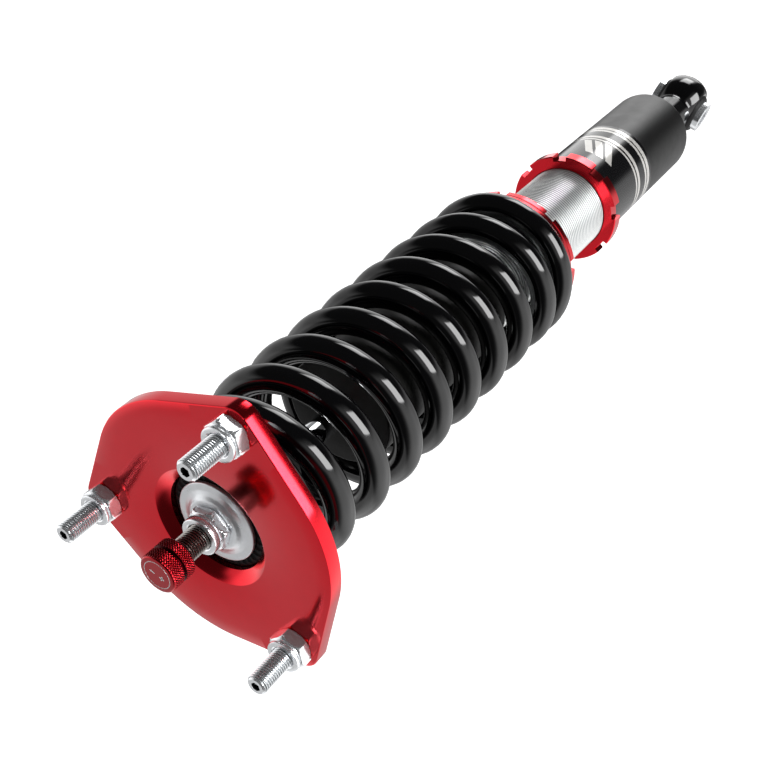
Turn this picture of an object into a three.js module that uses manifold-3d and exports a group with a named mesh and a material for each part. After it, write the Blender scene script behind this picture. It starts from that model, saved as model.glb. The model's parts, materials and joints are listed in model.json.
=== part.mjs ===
// A coilover: threaded damper, coil spring, pillow top plate and lower eye bracket.
// Millimetres. The origin is the centre of the top plate's upper face, +Z runs up the
// damper's axis, stud A stands on +Y and the lower eye's bolt runs along X.
import * as THREE from 'three';
import { mergeVertices } from 'three/addons/utils/BufferGeometryUtils.js';
import Module from 'manifold-3d';

const wasm = await Module();
wasm.setup();

// Driving dimensions
const GAP = 0.3;                // clearance between two touching pieces
const PLATE_R = 63.5;           // round part of the top plate
const PLATE_T = 8;
const PLATE_BORE_R = 25;
const BORE_MOUTH_R = 30.1;      // wide end of the bore's chamfer
const BORE_MOUTH_DEPTH = 4.2;
const STUD_PCD_R = 63;
const STUD_ANGLES = { a: 90, b: 210, c: 330 };
const LOBE_R = 65.5;            // centre radius of the plate's three rounded corners
const LOBE_CORNER_R = 10;
const STUD_R = 5;               // M10
const STUD_TOP = 27.4;
const ROD_R = 6.2;
const ROD_THREAD_R = 5.9;       // M12
const ROD_TOP = 18.7;
const TUBE_R = 26.5;            // outside of the damper tube's thread
const TUBE_BORE_R = 23.5;
const TUBE_TOP = -105;
const TUBE_BOTTOM = -435;
const WIRE_R = 7;
const SPRING_R = 39;          // centreline radius of the coils
const SPRING_TOP = -11.3;
const SPRING_BOTTOM = -265;
const PERCH_R = 40.5;
const PERCH_T = 5.1;
const RING_T = 4;
const COLLAR_TOP = -343.7;
const COLLAR_R = 34.6;
const COLLAR_T = 8;
const NOTCHES = 8;              // spanner notches of a lock collar
const SLEEVE_R = 28.9;
const SLEEVE_BOTTOM = -480.6;
const EYE_Z = -540;
const EYE_BORE_R = 14.2;
const EYE_HALF = 13;            // half the width of the eye across its flat faces
const EYE_SLEEVE_HALF = 20;

const deg = (angle) => angle * Math.PI / 180;

// Finishes
const finish = (color, roughness, metalness) => new THREE.MeshStandardMaterial({ color, roughness, metalness });
const redAnodised = () => finish(0xb01420, 0.35, 0.9);
const zincSteel = () => finish(0xc9ccd0, 0.3, 1);
const darkSteel = () => finish(0x4a4a4d, 0.4, 1);
const hardChrome = () => finish(0xd8dadd, 0.08, 1);
const blackPaint = () => finish(0x0a0a0b, 0.2, 0);
const satinBlack = () => finish(0x16161a, 0.4, 0.2);
const blackRubber = () => finish(0x1a1a1a, 0.85, 0);
const blackPlastic = () => finish(0x1d1b1a, 0.6, 0);
const bronzeBand = () => finish(0x9a7a45, 0.5, 0.4);

const coilover = new THREE.Group();

// Adds one named piece to the group and returns it
function piece(name, geometry, material) {
  const mesh = new THREE.Mesh(geometry, material);
  mesh.name = name;
  coilover.add(mesh);
  return mesh;
}

// A turned ring or disc about Z, from [radius, z] corners; a closed outline has a hole in it
function turned(corners, segments = 32) {
  const closed = corners.every(([radius]) => radius > 0);
  const outline = closed ? [...corners, corners[0]] : corners;
  const signed = outline.slice(1).reduce((sum, [r, z], i) => sum + outline[i][0] * z - r * outline[i][1], 0);
  const ordered = signed > 0 ? outline : [...outline].reverse();
  const lathe = new THREE.LatheGeometry(ordered.map(([radius, z]) => new THREE.Vector2(radius, z)), segments);
  return lathe.rotateX(Math.PI / 2);
}

// A plain ring with square corners
const ring = (inner, outer, bottom, top, segments) =>
  turned([[inner, bottom], [outer, bottom], [outer, top], [inner, top]], segments);

const disc = (radius, bottom, top, segments) =>
  turned([[0, bottom], [radius, bottom], [radius, top], [0, top]], segments);

// A straight prism of a polygon's outline about Z
function prism(corners, bottom, top) {
  const shape = new THREE.Shape(corners.map(([x, y]) => new THREE.Vector2(x, y)));
  return new THREE.ExtrudeGeometry(shape, { depth: top - bottom, bevelEnabled: false }).translate(0, 0, bottom);
}

// A hexagon's corners from its width across flats, with its first corner at an angle
function hexagon(acrossFlats, firstCorner) {
  const radius = acrossFlats / Math.sqrt(3);
  return Array.from({ length: 6 }, (_, k) => {
    const angle = deg(firstCorner + 60 * k);
    return [radius * Math.cos(angle), radius * Math.sin(angle)];
  });
}

// Booleans
function solid(geometry) {
  const bare = geometry.clone();
  bare.deleteAttribute('normal');
  bare.deleteAttribute('uv');
  const merged = mergeVertices(bare, 1e-4);
  const vertProperties = new Float32Array(merged.attributes.position.array);
  const triVerts = new Uint32Array(merged.index.array);
  return new wasm.Manifold(new wasm.Mesh({ numProp: 3, vertProperties, triVerts }));
}

function geometryOf(manifold) {
  const mesh = manifold.getMesh();
  const geometry = new THREE.BufferGeometry();
  geometry.setAttribute('position', new THREE.BufferAttribute(mesh.vertProperties, 3));
  geometry.setIndex(new THREE.BufferAttribute(mesh.triVerts, 1));
  geometry.computeVertexNormals();
  return geometry;
}

function cut(body, ...tools) {
  return geometryOf(tools.reduce((left, tool) => left.subtract(solid(tool)), solid(body)));
}

function join(...bodies) {
  return geometryOf(bodies.slice(1).reduce((sum, body) => sum.add(solid(body)), solid(bodies[0])));
}

// Top plate: a disc with three rounded corners, a chamfered bore and three stud holes
function topPlate() {
  const tangent = Math.acos((PLATE_R - LOBE_CORNER_R) / LOBE_R);
  const outline = new THREE.Shape();
  const middles = Object.values(STUD_ANGLES).map(deg);
  middles.forEach((middle, k) => {
    const next = middles[(k + 1) % middles.length];
    const end = next > middle ? next : next + 2 * Math.PI;
    const x = LOBE_R * Math.cos(middle);
    const y = LOBE_R * Math.sin(middle);
    outline.absarc(x, y, LOBE_CORNER_R, middle - tangent, middle + tangent, false);
    outline.absarc(0, 0, PLATE_R, middle + tangent, end - tangent, false);
  });
  outline.holes.push(new THREE.Path().absarc(0, 0, PLATE_BORE_R, 0, 2 * Math.PI, true));
  for (const middle of middles) {
    const x = STUD_PCD_R * Math.cos(middle);
    const y = STUD_PCD_R * Math.sin(middle);
    outline.holes.push(new THREE.Path().absarc(x, y, STUD_R + GAP, 0, 2 * Math.PI, true));
  }
  const slab = new THREE.ExtrudeGeometry(outline, { depth: PLATE_T, bevelEnabled: false, curveSegments: 16 });
  const mouthSlope = (BORE_MOUTH_R - PLATE_BORE_R) / BORE_MOUTH_DEPTH;
  const mouth = turned([
    [0, -BORE_MOUTH_DEPTH], [PLATE_BORE_R, -BORE_MOUTH_DEPTH],
    [BORE_MOUTH_R + mouthSlope, 1], [0, 1],
  ], 64);
  return cut(slab.translate(0, 0, -PLATE_T), mouth);
}
piece('top_plate', topPlate(), redAnodised());

// Studs pressed in from below and their locking nuts
const STUD_HEAD_R = 8;
const STUD_HEAD_T = 2.5;
const STUD_TIP_R = 3.9;
const STUD_SOCKET_R = 2.1;
const STUD_SOCKET_DEPTH = 4;
const STUD_NUT_AF = 17;
const STUD_NUT_HEX_T = 6.8;
const STUD_NUT_TOP = 9;
const STUD_NUT_COLLAR_R = 8.2;
const NUT_BORE_R = STUD_R + GAP;

function stud() {
  const headTop = -PLATE_T - GAP;
  return turned([
    [0, headTop - STUD_HEAD_T], [STUD_HEAD_R, headTop - STUD_HEAD_T], [STUD_HEAD_R, headTop],
    [STUD_R, headTop], [STUD_R, STUD_TOP - 1.2], [STUD_TIP_R, STUD_TOP],
    [STUD_SOCKET_R, STUD_TOP], [STUD_SOCKET_R, STUD_TOP - STUD_SOCKET_DEPTH], [0, STUD_TOP - STUD_SOCKET_DEPTH],
  ], 16);
}

function lockingNut(acrossFlats, firstCorner, collarR, boreR, bottom, hexTop, top) {
  const body = join(
    prism(hexagon(acrossFlats, firstCorner), bottom, hexTop),
    disc(collarR, hexTop - 1, top, 20),
  );
  return cut(body, disc(boreR, bottom - 1, top + 1, 20));
}

for (const [letter, angle] of Object.entries(STUD_ANGLES)) {
  const x = STUD_PCD_R * Math.cos(deg(angle));
  const y = STUD_PCD_R * Math.sin(deg(angle));
  piece(`stud_${letter}`, stud(), zincSteel()).position.set(x, y, 0);
  const nut = lockingNut(STUD_NUT_AF, 0, STUD_NUT_COLLAR_R, NUT_BORE_R, GAP, STUD_NUT_HEX_T, STUD_NUT_TOP);
  piece(`stud_nut_${letter}`, nut, zincSteel()).position.set(x, y, 0);
}

// Upper spring seat under the plate, and the rubber bush that it holds
const SEAT_R = 43;
const SEAT_HUB_R = 31.4;
const SEAT_BORE_R = 25.3;
const SEAT_HUB_BOTTOM = -22;
const SEAT_TOP = -PLATE_T - GAP;
piece('upper_spring_seat', turned([
  [SEAT_BORE_R, SEAT_HUB_BOTTOM], [SEAT_HUB_R, SEAT_HUB_BOTTOM], [SEAT_HUB_R, SPRING_TOP],
  [SEAT_R, SPRING_TOP], [SEAT_R, SEAT_TOP], [SEAT_BORE_R, SEAT_TOP],
]), redAnodised());

const BUSH_SLEEVE_R = 10;
const BUSH_TOP = -7;
const BUSH_BOTTOM = -21.7;
piece('top_bush', ring(BUSH_SLEEVE_R + GAP, PLATE_BORE_R - GAP, BUSH_BOTTOM, BUSH_TOP), blackRubber());
piece('bush_sleeve', ring(ROD_R + GAP, BUSH_SLEEVE_R, BUSH_BOTTOM, -4.8, 24), zincSteel());

// Cup washers above and below the bush, the rod's stop ring and the top nut
const WASHER_R = 20.4;
const WASHER_RIM_TOP = -4.6;
const WASHER_DOME_TOP = -2.5;
const WASHER_T = 2;
const DOME_FOOT_R = 16.5;
const DOME_TOP_R = 11.5;
piece('cup_washer', turned([
  [ROD_THREAD_R + GAP, WASHER_DOME_TOP - WASHER_T], [DOME_TOP_R, WASHER_DOME_TOP - WASHER_T],
  [DOME_FOOT_R, WASHER_RIM_TOP - WASHER_T], [WASHER_R, WASHER_RIM_TOP - WASHER_T],
  [WASHER_R, WASHER_RIM_TOP], [DOME_FOOT_R, WASHER_RIM_TOP],
  [DOME_TOP_R, WASHER_DOME_TOP], [ROD_THREAD_R + GAP, WASHER_DOME_TOP],
]), zincSteel());

const LOWER_WASHER_T = 2;
const LOWER_WASHER_TOP = BUSH_BOTTOM - GAP;
piece('lower_cup_washer', ring(ROD_R + GAP, 20, LOWER_WASHER_TOP - LOWER_WASHER_T, LOWER_WASHER_TOP, 32), zincSteel());

const STOP_RING_TOP = LOWER_WASHER_TOP - LOWER_WASHER_T - GAP;
const STOP_RING_T = 2;
piece('rod_stop_ring', ring(ROD_R + GAP, 10, STOP_RING_TOP - STOP_RING_T, STOP_RING_TOP, 24), darkSteel());

const TOP_NUT_AF = 19;
const TOP_NUT_HEX_TOP = 1.5;
const TOP_NUT_TOP = 6.6;
const TOP_NUT_BOTTOM = WASHER_DOME_TOP + GAP;
const TOP_NUT_COLLAR_R = 9.2;
piece('top_nut', lockingNut(
  TOP_NUT_AF, 30, TOP_NUT_COLLAR_R, ROD_THREAD_R + GAP, TOP_NUT_BOTTOM, TOP_NUT_HEX_TOP, TOP_NUT_TOP,
), zincSteel());

// Piston rod, hollow for the damping adjuster, with its piston pack at the lower end
const ROD_SHOULDER = -150;
const ROD_SPIGOT_R = 5;
const ROD_BOTTOM = -177;
const ROD_BORE_R = 2.3;
const ROD_BORE_BOTTOM = -168;
const THREAD_BOTTOM = -18;
piece('piston_rod', turned([
  [0, ROD_BOTTOM], [ROD_SPIGOT_R, ROD_BOTTOM], [ROD_SPIGOT_R, ROD_SHOULDER], [ROD_R, ROD_SHOULDER],
  [ROD_R, THREAD_BOTTOM], [ROD_THREAD_R, THREAD_BOTTOM], [ROD_THREAD_R, ROD_TOP],
  [ROD_BORE_R, ROD_TOP], [ROD_BORE_R, ROD_BORE_BOTTOM], [0, ROD_BORE_BOTTOM],
], 28), hardChrome());

const BUMP_STOP_TOP = STOP_RING_TOP - STOP_RING_T - GAP;
const BUMP_STOP_BOTTOM = -50;
const BUMP_STOP_R = 19;
piece('bump_stop', turned([
  [ROD_R + GAP, BUMP_STOP_BOTTOM], [13, BUMP_STOP_BOTTOM], [BUMP_STOP_R, -42],
  [BUMP_STOP_R, BUMP_STOP_TOP], [ROD_R + GAP, BUMP_STOP_TOP],
], 32), blackRubber());

const SHIM_R = 14;
const SHIM_T = 1.2;
const PISTON_R = 22.4;
const PISTON_T = 16;
const BAND_T = 8;
const BAND_GROOVE_R = 20;
const SPIGOT_HOLE_R = ROD_SPIGOT_R + GAP;
const UPPER_SHIMS_TOP = ROD_SHOULDER - GAP;
const PISTON_TOP = UPPER_SHIMS_TOP - SHIM_T - GAP;
const PISTON_BOTTOM = PISTON_TOP - PISTON_T;
const BAND_TOP = PISTON_TOP - (PISTON_T - BAND_T) / 2;
const BAND_BOTTOM = BAND_TOP - BAND_T;
piece('compression_shims', ring(SPIGOT_HOLE_R, SHIM_R, UPPER_SHIMS_TOP - SHIM_T, UPPER_SHIMS_TOP, 24), zincSteel());
piece('piston', turned([
  [SPIGOT_HOLE_R, PISTON_BOTTOM], [PISTON_R, PISTON_BOTTOM], [PISTON_R, BAND_BOTTOM - GAP],
  [BAND_GROOVE_R, BAND_BOTTOM - GAP], [BAND_GROOVE_R, BAND_TOP + GAP], [PISTON_R, BAND_TOP + GAP],
  [PISTON_R, PISTON_TOP], [SPIGOT_HOLE_R, PISTON_TOP],
], 24), darkSteel());
piece('piston_band', ring(BAND_GROOVE_R + GAP, TUBE_BORE_R - GAP, BAND_BOTTOM, BAND_TOP, 24), bronzeBand());
const LOWER_SHIMS_TOP = PISTON_BOTTOM - GAP;
piece('rebound_shims', ring(SPIGOT_HOLE_R, SHIM_R, LOWER_SHIMS_TOP - SHIM_T, LOWER_SHIMS_TOP, 24), zincSteel());
const PISTON_NUT_TOP = LOWER_SHIMS_TOP - SHIM_T - GAP;
const PISTON_NUT_T = 5;
piece('piston_nut', cut(
  prism(hexagon(17, 0), PISTON_NUT_TOP - PISTON_NUT_T, PISTON_NUT_TOP),
  disc(SPIGOT_HOLE_R, PISTON_NUT_TOP - PISTON_NUT_T - 1, PISTON_NUT_TOP + 1, 24),
), darkSteel());

// Spring: one round wire, with evenly pitched coils and closed coils at both ends
const UPPER_TIP_ANGLE = 84;     // azimuth of the wire's upper end
const TOP_TURNS = 0.38;         // flat stretch at the upper end
const BOTTOM_TURNS = 0.68;      // flat stretch at the lower end
const OPEN_TURNS = 8.516;       // evenly pitched stretch between them
const STEPS_PER_TURN = 18;
const END_RISE = SPRING_TOP - GAP - WIRE_R;
const END_FALL = SPRING_BOTTOM + GAP + WIRE_R;

class SpringLine extends THREE.Curve {
  getPoint(t, target = new THREE.Vector3()) {
    const turn = t * (TOP_TURNS + OPEN_TURNS + BOTTOM_TURNS);
    const open = THREE.MathUtils.clamp((turn - TOP_TURNS) / OPEN_TURNS, 0, 1);
    const angle = deg(UPPER_TIP_ANGLE) - 2 * Math.PI * turn;
    const z = THREE.MathUtils.lerp(END_RISE, END_FALL, open);
    return target.set(SPRING_R * Math.cos(angle), SPRING_R * Math.sin(angle), z);
  }
}

function spring() {
  const section = new THREE.Shape(Array.from({ length: 8 }, (_, k) => {
    const angle = deg(45 * k + 22.5);
    return new THREE.Vector2(WIRE_R * Math.cos(angle), WIRE_R * Math.sin(angle));
  }));
  const steps = Math.round((TOP_TURNS + OPEN_TURNS + BOTTOM_TURNS) * STEPS_PER_TURN);
  return new THREE.ExtrudeGeometry(section, { steps, bevelEnabled: false, extrudePath: new SpringLine() });
}
piece('spring', spring(), blackPaint());

// Damping adjuster: a knob on top of the rod that lifts or lowers the needle inside it
const KNOB_R = 9.5;
const KNOB_FACE_R = 8.8;
const KNOB_BOTTOM = ROD_TOP + GAP;
const KNOB_TOP = 32.4;
const KNOB_GROOVE_Z = 25.5;
const KNOB_GROOVE_R = 8.9;
const NEEDLE_R = 1.9;
const NEEDLE_TOP = 27;
const NEEDLE_BOTTOM = -160;
piece('adjuster_knob', turned([
  [0, NEEDLE_TOP + 1], [NEEDLE_R + GAP, NEEDLE_TOP + 1], [NEEDLE_R + GAP, KNOB_BOTTOM],
  [KNOB_FACE_R, KNOB_BOTTOM], [KNOB_R, KNOB_BOTTOM + 0.9],
  [KNOB_R, KNOB_GROOVE_Z - 1], [KNOB_GROOVE_R, KNOB_GROOVE_Z - 0.6],
  [KNOB_GROOVE_R, KNOB_GROOVE_Z + 0.6], [KNOB_R, KNOB_GROOVE_Z + 1],
  [KNOB_R, KNOB_TOP - 0.7], [KNOB_FACE_R, KNOB_TOP], [0, KNOB_TOP],
], 36), redAnodised());
piece('adjuster_needle', disc(NEEDLE_R, NEEDLE_BOTTOM, NEEDLE_TOP, 12), zincSteel());

// Damper tube with its gland, base plug, gas piston and dust boot
piece('damper_tube', ring(TUBE_BORE_R, TUBE_R, TUBE_BOTTOM, TUBE_TOP, 36), zincSteel());

const GLAND_R = TUBE_BORE_R - GAP;
const GLAND_TOP = -108;
const SEAL_R = 11.7;
const SEAL_DEPTH = 7;
piece('gland_ring', ring(20, GLAND_R, GLAND_TOP + GAP, GLAND_TOP + 2, 24), darkSteel());
piece('rod_guide', turned([
  [ROD_R + GAP, -130], [GLAND_R, -130], [GLAND_R, GLAND_TOP], [SEAL_R + GAP, GLAND_TOP],
  [SEAL_R + GAP, GLAND_TOP - SEAL_DEPTH], [ROD_R + GAP, GLAND_TOP - SEAL_DEPTH],
], 24), darkSteel());
piece('rod_seal', ring(ROD_R + GAP, SEAL_R, GLAND_TOP - SEAL_DEPTH + GAP, GLAND_TOP, 24), blackRubber());
piece('base_plug', disc(GLAND_R, TUBE_BOTTOM, TUBE_BOTTOM + 12, 24), darkSteel());

const GAS_PISTON_TOP = -330;
const GAS_PISTON_T = 18;
const GAS_SEAL_T = 3;
const GAS_GROOVE_R = 20.5;
const GAS_SEAL_TOP = GAS_PISTON_TOP - (GAS_PISTON_T - GAS_SEAL_T) / 2;
piece('floating_piston', turned([
  [0, GAS_PISTON_TOP - GAS_PISTON_T], [GLAND_R, GAS_PISTON_TOP - GAS_PISTON_T],
  [GLAND_R, GAS_SEAL_TOP - GAS_SEAL_T - GAP], [GAS_GROOVE_R, GAS_SEAL_TOP - GAS_SEAL_T - GAP],
  [GAS_GROOVE_R, GAS_SEAL_TOP + GAP], [GLAND_R, GAS_SEAL_TOP + GAP],
  [GLAND_R, GAS_PISTON_TOP], [0, GAS_PISTON_TOP],
], 24), darkSteel());
piece('gas_seal', ring(GAS_GROOVE_R + GAP, GLAND_R, GAS_SEAL_TOP - GAS_SEAL_T, GAS_SEAL_TOP, 24), blackRubber());

const BOOT_TOP = -96.5;
const BOOT_BOTTOM = -212;
const BOOT_R = 29;
const BOOT_WALL = 2;
const BOOT_HOLE_R = 7.5;
piece('dust_boot', turned([
  [BOOT_R - BOOT_WALL, BOOT_BOTTOM], [BOOT_R, BOOT_BOTTOM], [BOOT_R, BOOT_TOP - 1.5],
  [BOOT_R - 1.5, BOOT_TOP], [BOOT_HOLE_R, BOOT_TOP], [BOOT_HOLE_R, BOOT_TOP - BOOT_WALL],
  [BOOT_R - BOOT_WALL, BOOT_TOP - BOOT_WALL],
]), blackPlastic());

// A flat ring with evenly spaced square notches in its rim for a spanner
function notched(body, rimR, depth, width, bottom, top, firstAngle) {
  const notches = Array.from({ length: NOTCHES }, (_, k) => {
    const box = new THREE.BoxGeometry(2 * depth, width, top - bottom + 2);
    box.translate(rimR, 0, (top + bottom) / 2);
    return box.rotateZ(deg(firstAngle) + 2 * Math.PI * k / NOTCHES);
  });
  return cut(body, ...notches);
}

// Spring perch: a smooth seat over a threaded, notched ring
const HUB_R = TUBE_R + 0.4;
const PERCH_HUB_R = 31;
const PERCH_HUB_TOP = -257;
const PERCH_BOTTOM = SPRING_BOTTOM - PERCH_T;
const RING_TOP = PERCH_BOTTOM - GAP;
const RING_NOTCH_ANGLE = 73;
piece('spring_perch', turned([
  [HUB_R, PERCH_BOTTOM], [PERCH_R, PERCH_BOTTOM], [PERCH_R, SPRING_BOTTOM],
  [PERCH_HUB_R, SPRING_BOTTOM], [PERCH_HUB_R, PERCH_HUB_TOP], [HUB_R, PERCH_HUB_TOP],
], 36), redAnodised());
piece('perch_ring', notched(
  ring(HUB_R, PERCH_R, RING_TOP - RING_T, RING_TOP, 36),
  PERCH_R, 2.4, 6.4, RING_TOP - RING_T, RING_TOP, RING_NOTCH_ANGLE,
), redAnodised());

// Lower lock collar on top of the bracket's sleeve
const COLLAR_NOTCH_ANGLE = 73.3;
piece('lock_collar', notched(
  ring(HUB_R, COLLAR_R, COLLAR_TOP - COLLAR_T, COLLAR_TOP, 36),
  COLLAR_R, 2.8, 9, COLLAR_TOP - COLLAR_T, COLLAR_TOP, COLLAR_NOTCH_ANGLE,
), redAnodised());

// Lower bracket: a sleeve that screws up and down the tube, closed at its lower end
const SLEEVE_TOP = COLLAR_TOP - COLLAR_T - GAP;
const SLEEVE_FLOOR = -466;
const SLEEVE_EDGE = 3;
piece('lower_sleeve', turned([
  [0, SLEEVE_BOTTOM], [SLEEVE_R - SLEEVE_EDGE, SLEEVE_BOTTOM],
  [SLEEVE_R - 0.9, SLEEVE_BOTTOM + 0.9], [SLEEVE_R, SLEEVE_BOTTOM + SLEEVE_EDGE],
  [SLEEVE_R, SLEEVE_TOP], [HUB_R, SLEEVE_TOP], [HUB_R, SLEEVE_FLOOR], [0, SLEEVE_FLOOR],
], 36), satinBlack());

// Lower eye: a neck and a barrel forged in one, its bush and the sleeve that the bolt clamps
const EYE_R = 21.5;
const EYE_FACE_R = 16;
const NECK_R = 13.5;
const NECK_TOP_R = 19;

const alongX = (geometry) => geometry.rotateY(Math.PI / 2).translate(0, 0, EYE_Z);

function lowerEye() {
  const neck = turned([
    [0, EYE_Z + 8], [NECK_R, EYE_Z + 8], [NECK_R, SLEEVE_BOTTOM - 12],
    [NECK_R + 1.5, SLEEVE_BOTTOM - 7], [NECK_TOP_R, SLEEVE_BOTTOM - GAP], [0, SLEEVE_BOTTOM - GAP],
  ], 32);
  const barrel = turned([
    [0, -EYE_HALF], [EYE_FACE_R, -EYE_HALF], [EYE_FACE_R + 3.6, -EYE_HALF * 0.7], [EYE_R, -EYE_HALF * 0.25],
    [EYE_R, EYE_HALF * 0.25], [EYE_FACE_R + 3.6, EYE_HALF * 0.7], [EYE_FACE_R, EYE_HALF], [0, EYE_HALF],
  ], 36);
  const bore = disc(EYE_BORE_R, -2 * EYE_HALF, 2 * EYE_HALF, 36);
  return cut(join(neck, alongX(barrel)), alongX(bore));
}
piece('lower_eye', lowerEye(), blackPaint());

const EYE_SLEEVE_R = 10.7;
const EYE_BOLT_R = 6.2;
const EYE_BUSH_HALF = 14.5;
piece('eye_bush', alongX(ring(EYE_SLEEVE_R + GAP, EYE_BORE_R - GAP, -EYE_BUSH_HALF, EYE_BUSH_HALF, 32)), blackRubber());
piece('eye_sleeve', alongX(ring(EYE_BOLT_R, EYE_SLEEVE_R, -EYE_SLEEVE_HALF, EYE_SLEEVE_HALF, 32)), zincSteel());

export default coilover;
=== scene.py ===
import json
from math import acos, atan2, cos, degrees, hypot, pi, radians, sin, sqrt

import bmesh
import bpy
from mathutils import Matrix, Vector


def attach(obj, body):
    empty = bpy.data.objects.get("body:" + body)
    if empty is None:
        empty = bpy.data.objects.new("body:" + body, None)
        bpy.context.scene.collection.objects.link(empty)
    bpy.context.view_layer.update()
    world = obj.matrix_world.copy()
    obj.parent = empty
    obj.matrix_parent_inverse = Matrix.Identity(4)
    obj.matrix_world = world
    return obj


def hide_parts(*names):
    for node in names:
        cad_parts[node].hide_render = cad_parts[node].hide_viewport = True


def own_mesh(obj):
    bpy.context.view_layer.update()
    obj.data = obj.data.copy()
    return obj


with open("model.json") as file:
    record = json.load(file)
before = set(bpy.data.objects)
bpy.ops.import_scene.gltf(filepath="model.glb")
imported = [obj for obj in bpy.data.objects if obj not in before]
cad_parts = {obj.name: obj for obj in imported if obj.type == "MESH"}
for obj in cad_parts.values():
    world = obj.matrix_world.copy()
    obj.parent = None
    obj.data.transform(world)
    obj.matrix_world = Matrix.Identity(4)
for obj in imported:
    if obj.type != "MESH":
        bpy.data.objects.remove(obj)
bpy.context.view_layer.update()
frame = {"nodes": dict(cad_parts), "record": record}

# Studio: a product shot in a light room. The camera stands above the top plate and looks down
# the damper, with a normal lens. To the camera the room is plain white, and the part is lit by
# soft cards on the room's walls.
MM = 0.001
scene = bpy.context.scene
scene.view_settings.view_transform = "Standard"


def srgb(code):
    """The linear colour of an sRGB hex code, with full alpha."""
    channels = [int(code[i:i + 2], 16) / 255 for i in (1, 3, 5)]
    return [c / 12.92 if c <= 0.04045 else ((c + 0.055) / 1.055) ** 2.4 for c in channels] + [1]


camera = bpy.data.objects.new("camera", bpy.data.cameras.new("camera"))
scene.collection.objects.link(camera)
camera.location = Vector((144.3, 398.9, 256.9)) * MM
camera.rotation_euler = [radians(angle) for angle in (-36.443, 33.013, 17.196)]
camera.data.lens = 53.65
camera.data.sensor_width = 36
camera.data.clip_start = 0.01
scene.camera = camera


def add(tree, kind, sources=None, **settings):
    """Adds a node. Settings are its properties and inputs by name. Sources go to its inputs by
    name or number, and each is a socket to link from or a plain value."""
    node = tree.nodes.new(kind)
    for name, value in settings.items():
        socket = node.inputs.get(name.replace("_", " "))
        if socket is None:
            setattr(node, name, value)
        else:
            socket.default_value = value
    for name, source in (sources or {}).items():
        if isinstance(source, bpy.types.NodeSocket):
            tree.links.new(source, node.inputs[name])
        else:
            node.inputs[name].default_value = source
    return node


def band(tree, value, middle, half, soft):
    """One within half a width of the middle and zero outside it, with a soft edge, in degrees."""
    off = add(tree, "ShaderNodeMath", {0: value, 1: radians(middle)}, operation="SUBTRACT").outputs[0]
    size = add(tree, "ShaderNodeMath", {0: off}, operation="ABSOLUTE").outputs[0]
    return add(tree, "ShaderNodeMapRange", {"Value": size}, interpolation_type="SMOOTHSTEP",
               From_Min=radians(half + soft / 2), From_Max=radians(half - soft / 2)).outputs["Result"]


def card(tree, sky, azimuth, half_azimuth, elevation, half_elevation, soft, strength):
    """A light card on the room's wall, by its direction from the part in degrees, as a strength."""
    turned = add(tree, "ShaderNodeVectorRotate", {"Vector": sky}, rotation_type="Z_AXIS",
                 Angle=-radians(azimuth)).outputs["Vector"]
    part = add(tree, "ShaderNodeSeparateXYZ", {"Vector": turned}).outputs
    across_sky = add(tree, "ShaderNodeMath", {0: part["Y"], 1: part["X"]}, operation="ARCTAN2").outputs[0]
    up_sky = add(tree, "ShaderNodeMath", {0: part["Z"]}, operation="ARCSINE").outputs[0]
    wide = band(tree, across_sky, 0, half_azimuth, soft)
    tall = band(tree, up_sky, elevation, half_elevation, soft)
    lit = add(tree, "ShaderNodeMath", {0: wide, 1: tall}, operation="MULTIPLY").outputs[0]
    return add(tree, "ShaderNodeMath", {0: lit, 1: strength}, operation="MULTIPLY").outputs[0]


# Each card's azimuth, half its width, its elevation, half its height, the width of its soft edge,
# all in degrees, and its strength.
CARDS = {
    "key_softbox": (44, 15, -5, 20, 3, 11),
    "key_spill": (44, 20, 12, 28, 18, 0.8),
    "overhead_softbox": (114, 16, -45, 14, 8, 7),
    "overhead_spill": (150, 56, -66, 22, 20, 2.0),
    "white_wall": (325, 60, -26, 50, 20, 0.65),
    "window_wall": (350, 36, -12, 36, 40, 1.0),
    "pale_ceiling": (246, 52, 34, 40, 16, 0.55),
    "side_wall": (200, 28, 2, 44, 16, 0.8),
}
ROOM_GLOW = 0.06
world = bpy.data.worlds.new("light_room")
scene.world = world
world.use_nodes = True
room = world.node_tree
direction = add(room, "ShaderNodeTexCoord").outputs["Generated"]
glow = ROOM_GLOW
for values in CARDS.values():
    lit = card(room, direction, *values)
    glow = add(room, "ShaderNodeMath", {0: lit, 1: glow}, operation="ADD").outputs[0]
to_camera = add(room, "ShaderNodeLightPath").outputs["Is Camera Ray"]
seen = add(room, "ShaderNodeMix", {"Factor": to_camera, "A": glow, "B": 1.0}, data_type="FLOAT")
backdrop = room.nodes["Background"]
backdrop.inputs["Color"].default_value = srgb("#FFFFFF")
room.links.new(seen.outputs["Result"], backdrop.inputs["Strength"])


# Top plate: aluminium plate milled to a disc with three rounded corners, bead blasted and
# anodised red. The dye sits in the metal's oxide, so it shines in red with a faint clear gloss.
RED = "#DA0A20"
PLATE_R = 63.5
CORNER_PITCH_R = 65.5
CORNER_R = 10
PLATE_T = 8
PLATE_EDGE = 0.7
BORE_R = 25
BORE_MOUTH_R = 30.1
BORE_MOUTH_DEPTH = 4.2
FACE_MARGIN = 8
GRAIN_HEIGHT = 0.1
STUD_ANGLES = {"a": 90, "b": 210, "c": 330}


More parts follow.
